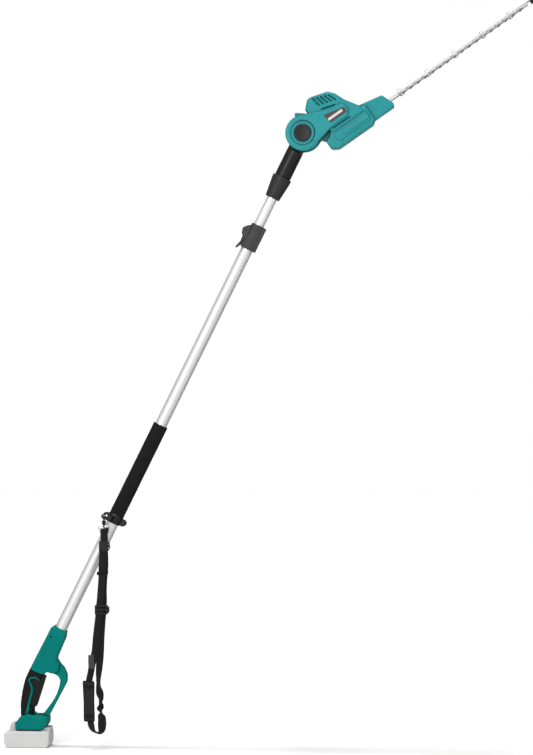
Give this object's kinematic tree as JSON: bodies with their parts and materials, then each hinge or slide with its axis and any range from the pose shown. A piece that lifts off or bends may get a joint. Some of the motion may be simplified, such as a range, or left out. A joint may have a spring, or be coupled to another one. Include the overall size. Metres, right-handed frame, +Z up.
{
  "type": "pole hedge trimmer",
  "caption": "Battery pole hedge trimmer with a tilting cutter head, telescopic tube with flip clamp, foam fore-grip, D-handle with trigger, slide-on battery and shoulder strap.",
  "frame": {"origin": "centre of the battery foot, on the face that the battery stands on", "axes": "+X the way the pole leans, +Y across the tool away from the viewer who looks at its near side, +Z up"},
  "size_m": [1.3254, 0.0802, 1.8679],
  "materials": {
    "teal_plastic": "glass-filled nylon shell, fine satin texture",
    "soft_black": "soft-touch overmould",
    "black_plastic": "moulded, satin",
    "dark_plastic": "moulded, fine matt texture",
    "grey_plastic": "moulded, satin, pale grey",
    "badge": "printed plate, satin",
    "steel": "zinc plated",
    "blade_steel": "ground",
    "brass": "plated contact",
    "aluminium": "satin anodised tube",
    "cast_aluminium": "die cast",
    "chrome": "polished",
    "cable": "coiled cable sheath",
    "foam": "closed-cell foam sleeve",
    "cell_wrap": "shrink sleeve",
    "webbing": "woven polypropylene webbing",
    "pad_fabric": "woven nylon over foam",
    "label_fabric": "satin tab"
  },
  "bodies": {
    "handle": {"handle_shell_near": "teal_plastic", "handle_shell_far": "teal_plastic", "grip_overmould": "soft_black", "handle_screws": "steel", "trigger_pin": "steel", "trigger_spring": "steel", "power_switch": "black_plastic", "terminal_block": "black_plastic", "terminal_blades": "brass", "lower_tube": "aluminium", "spiral_cable": "cable", "foam_grip": "foam", "strap_bracket": "black_plastic", "bracket_screw": "steel", "clamp_body": "dark_plastic", "clamp_pin": "steel"},
    "trigger": {"trigger": "black_plastic"},
    "lock_off": {"lock_off_button": "black_plastic"},
    "battery": {"battery_case_lower": "grey_plastic", "battery_case_upper": "grey_plastic", "battery_cells": "cell_wrap", "button_springs": "steel"},
    "battery_button": {"battery_button": "grey_plastic"},
    "clamp_lever": {"clamp_lever": "dark_plastic"},
    "upper_pole": {"upper_tube": "aluminium", "tube_guide": "black_plastic", "neck_adapter": "black_plastic", "index_ring": "steel", "connector_plug": "black_plastic"},
    "coupling_nut": {"coupling_nut": "dark_plastic"},
    "head": {"head_shell_near": "teal_plastic", "head_shell_far": "teal_plastic", "badge_plate": "badge", "head_screws": "steel", "pivot_bolt": "steel", "joint_cap": "black_plastic", "button_spring": "steel", "motor_can": "steel", "motor_bearings": "brass", "gear_case": "cast_aluminium", "gear_axle": "steel", "blade_rail": "blade_steel", "blade_bolts": "steel", "tip_guard": "black_plastic"},
    "joint_button": {"joint_button": "black_plastic"},
    "rotor": {"motor_rotor": "steel", "cooling_fan": "black_plastic", "pinion": "steel"},
    "drive_gear": {"drive_gear": "steel"},
    "upper_blade": {"upper_blade": "blade_steel"},
    "lower_blade": {"lower_blade": "blade_steel"},
    "snap_hook": {"snap_hook": "black_plastic"},
    "hook_gate": {"hook_gate": "steel"},
    "hook_swivel": {"hook_swivel": "black_plastic"},
    "strap": {"strap_ring": "chrome", "strap_webbing": "webbing", "shoulder_pad": "pad_fabric", "strap_label": "label_fabric", "strap_buckle": "black_plastic"},
    "strap_slider": {"strap_slider": "black_plastic"}
  },
  "joints": [
    {"name": "trigger_pull", "type": "hinge", "parent": "handle", "child": "trigger", "pos_m": [0.022, 0, 0.181], "axis": [0, 1, 0], "range_deg": [0, 6], "stiffness_Nm_per_rad": 0.8, "springref_deg": -14.32, "deforming": ["trigger_spring"]},
    {"name": "lock_off_press", "type": "slide", "parent": "handle", "child": "lock_off", "axis": [0, -1, 0], "range_m": [0, 0.003], "stiffness_N_per_m": 400, "springref_m": -0.003},
    {"name": "battery_slide", "type": "slide", "parent": "handle", "child": "battery", "axis": [-1, 0, 0], "range_m": [0, 0.095]},
    {"name": "battery_release", "type": "slide", "parent": "battery", "child": "battery_button", "axis": [0, 0, -1], "range_m": [0, 0.004], "stiffness_N_per_m": 600, "springref_m": -0.003, "deforming": ["button_springs"]},
    {"name": "clamp_flip", "type": "hinge", "parent": "handle", "child": "clamp_lever", "pos_m": [0.55015, 0, 1.29575], "axis": [0, 1, 0], "range_deg": [0, 105]},
    {"name": "pole_extend", "type": "slide", "parent": "handle", "child": "upper_pole", "axis": [0.4431, 0, 0.8965], "range_m": [-0.06, 0.42], "deforming": ["spiral_cable"]},
    {"name": "nut_turn", "type": "hinge", "parent": "upper_pole", "child": "coupling_nut", "pos_m": [0.62704, 0, 1.40053], "axis": [0.4431, 0, 0.8965], "continuous": true},
    {"name": "head_tilt", "type": "hinge", "parent": "upper_pole", "child": "head", "pos_m": [0.6935, 0, 1.535], "axis": [0, 1, 0], "range_deg": [-73.9, 61.1]},
    {"name": "joint_release", "type": "slide", "parent": "head", "child": "joint_button", "axis": [0, 1, 0], "range_m": [0, 0.005], "stiffness_N_per_m": 800, "springref_m": -0.003, "deforming": ["button_spring"]},
    {"name": "rotor_spin", "type": "hinge", "parent": "head", "child": "rotor", "pos_m": [0.76412, 0, 1.58408], "axis": [-0.5707, 0, 0.8211], "continuous": true},
    {"name": "gear_spin", "type": "hinge", "parent": "head", "child": "drive_gear", "pos_m": [0.80951, 0, 1.56083], "axis": [-0.5707, 0, 0.8211], "continuous": true},
    {"name": "upper_blade_stroke", "type": "slide", "parent": "head", "child": "upper_blade", "axis": [0.8211, 0, 0.5707], "range_m": [-0.007, 0.007]},
    {"name": "lower_blade_stroke", "type": "slide", "parent": "head", "child": "lower_blade", "axis": [0.8211, 0, 0.5707], "range_m": [-0.007, 0.007]},
    {"name": "hook_swing", "type": "hinge", "parent": "handle", "child": "snap_hook", "pos_m": [0.19611, -0.036, 0.58164], "axis": [0, 1, 0], "range_deg": [-8, 8]},
    {"name": "gate_open", "type": "hinge", "parent": "snap_hook", "child": "hook_gate", "pos_m": [0.19611, -0.0304, 0.57384], "axis": [1, 0, 0], "range_deg": [0, 18], "stiffness_Nm_per_rad": 0.01, "springref_deg": -17.19},
    {"name": "swivel_turn", "type": "hinge", "parent": "snap_hook", "child": "hook_swivel", "pos_m": [0.19611, -0.036, 0.56514], "axis": [0, 0, 1], "continuous": true},
    {"name": "ring_swing", "type": "hinge", "parent": "hook_swivel", "child": "strap", "pos_m": [0.19611, -0.036, 0.55634], "axis": [1, 0, 0], "range_deg": [-8, 8]},
    {"name": "slider_shift", "type": "slide", "parent": "strap", "child": "strap_slider", "axis": [0.0486, 0, 0.9988], "range_m": [-0.03, 0.03]}
  ],
  "couplings": [
    {"joint": "gear_spin", "follows": "rotor_spin", "ratio": -0.2},
    {"joint": "lower_blade_stroke", "follows": "upper_blade_stroke", "ratio": -1}
  ]
}
